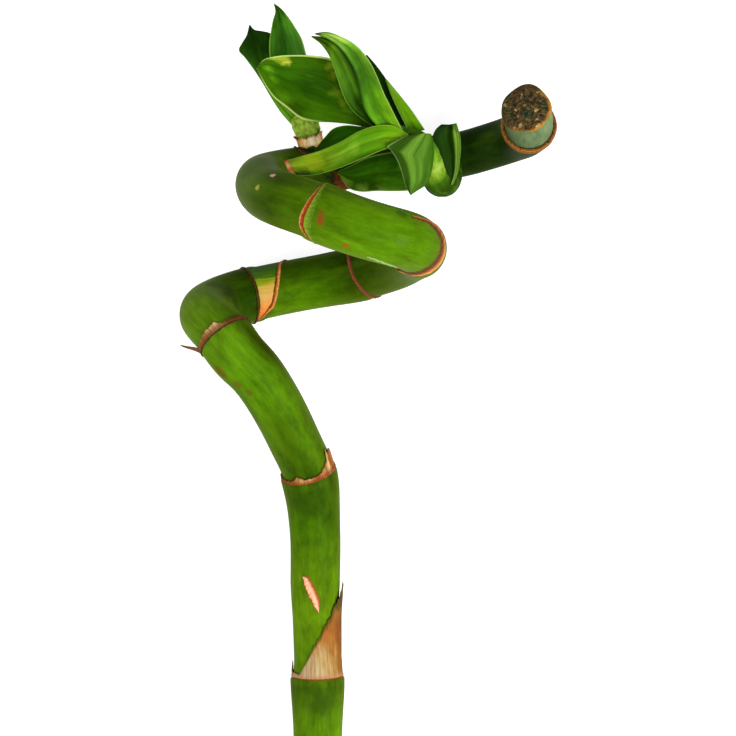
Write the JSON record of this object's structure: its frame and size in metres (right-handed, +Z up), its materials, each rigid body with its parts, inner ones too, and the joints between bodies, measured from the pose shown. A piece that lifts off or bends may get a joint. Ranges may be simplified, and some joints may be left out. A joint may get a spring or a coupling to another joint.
{
  "type": "lucky bamboo cane",
  "caption": "Spiral-trained lucky bamboo cane with two leafy side shoots, cut at both ends and lying on its side.",
  "frame": {"origin": "on the surface it lies on, under the middle of the whole outline", "axes": "+Y along the straight part of the cane towards the leafy end, +Z up from the surface, +X towards the cut top"},
  "size_m": [0.087, 0.2184, 0.0584],
  "materials": {
    "cane_skin": "smooth satin green skin with brown scars at the joints",
    "shoot_skin": "smooth light green young stem",
    "leaf": "satin, fine lengthwise veins",
    "dry_sheath": "matte, papery and torn"
  },
  "bodies": {
    "root": {"cane": "cane_skin", "dry_sheath_lower_joint": "dry_sheath", "dry_sheath_upper_joint": "dry_sheath", "dry_sheath_first_turn": "dry_sheath", "dry_sheath_top_cut": "dry_sheath", "left_shoot_bracts": "dry_sheath", "left_shoot_stem": "shoot_skin", "leaf_left_folded": "leaf", "leaf_left_tall": "leaf", "right_shoot_stem": "shoot_skin", "leaf_right_broad": "leaf", "leaf_right_behind": "leaf", "leaf_right_lower": "leaf", "leaf_right_shaded": "leaf", "leaf_right_slim": "leaf", "leaf_right_inner_hook": "leaf", "leaf_right_outer_hook": "leaf", "leaf_right_front": "leaf", "leaf_right_folded_down": "leaf", "leaf_right_sheathing": "leaf"}
  },
  "joints": []
}
